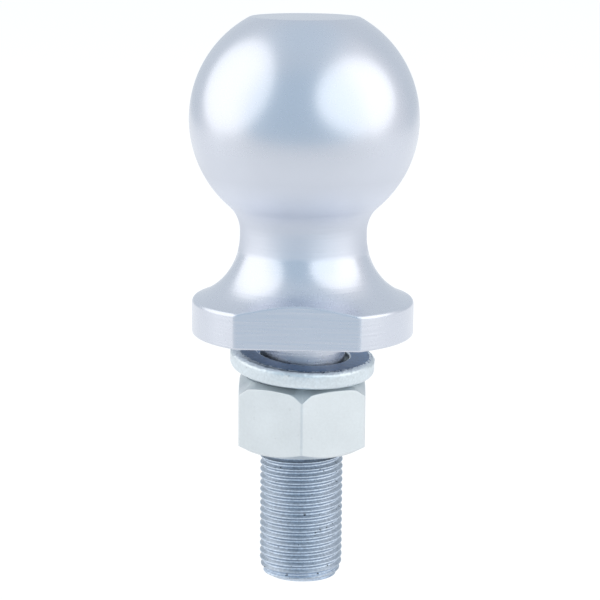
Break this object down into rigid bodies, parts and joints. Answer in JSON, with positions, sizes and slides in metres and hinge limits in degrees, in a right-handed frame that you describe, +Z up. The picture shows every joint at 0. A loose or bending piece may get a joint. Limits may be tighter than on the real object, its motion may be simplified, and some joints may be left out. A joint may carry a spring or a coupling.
{
  "type": "threaded tow ball",
  "caption": "Tow ball on a waisted neck and a flared flange with spanner flats, over a threaded shank that carries a split spring washer and a hexagon nut that screws along it.",
  "frame": {"origin": "on the axis, at the underside of the flange, which seats on the drawbar", "axes": "+Z up the axis to the ball's flat top; -Y is the side that faces the picture's camera"},
  "size_m": [0.0508, 0.0508, 0.1263],
  "materials": {
    "satin_zinc_steel": "satin",
    "zinc_spring_steel": "satin",
    "pale_zinc_steel": "matte"
  },
  "bodies": {
    "stud": {"ball_stud": "satin_zinc_steel"},
    "washer": {"spring_washer": "zinc_spring_steel"},
    "nut": {"hex_nut": "pale_zinc_steel"}
  },
  "joints": [
    {"name": "washer_slide", "type": "slide", "parent": "stud", "child": "washer", "axis": [0, 0, 1], "range_m": [-0.0446, 0.0029]},
    {"name": "nut_turn", "type": "hinge", "parent": "washer", "child": "nut", "pos_m": [0, 0, -0.018], "axis": [0, 0, 1], "range_deg": [-10080, 630]}
  ],
  "couplings": [
    {"joint": "washer_slide", "follows": "nut_turn", "m_per_rad": 0.00025266}
  ]
}
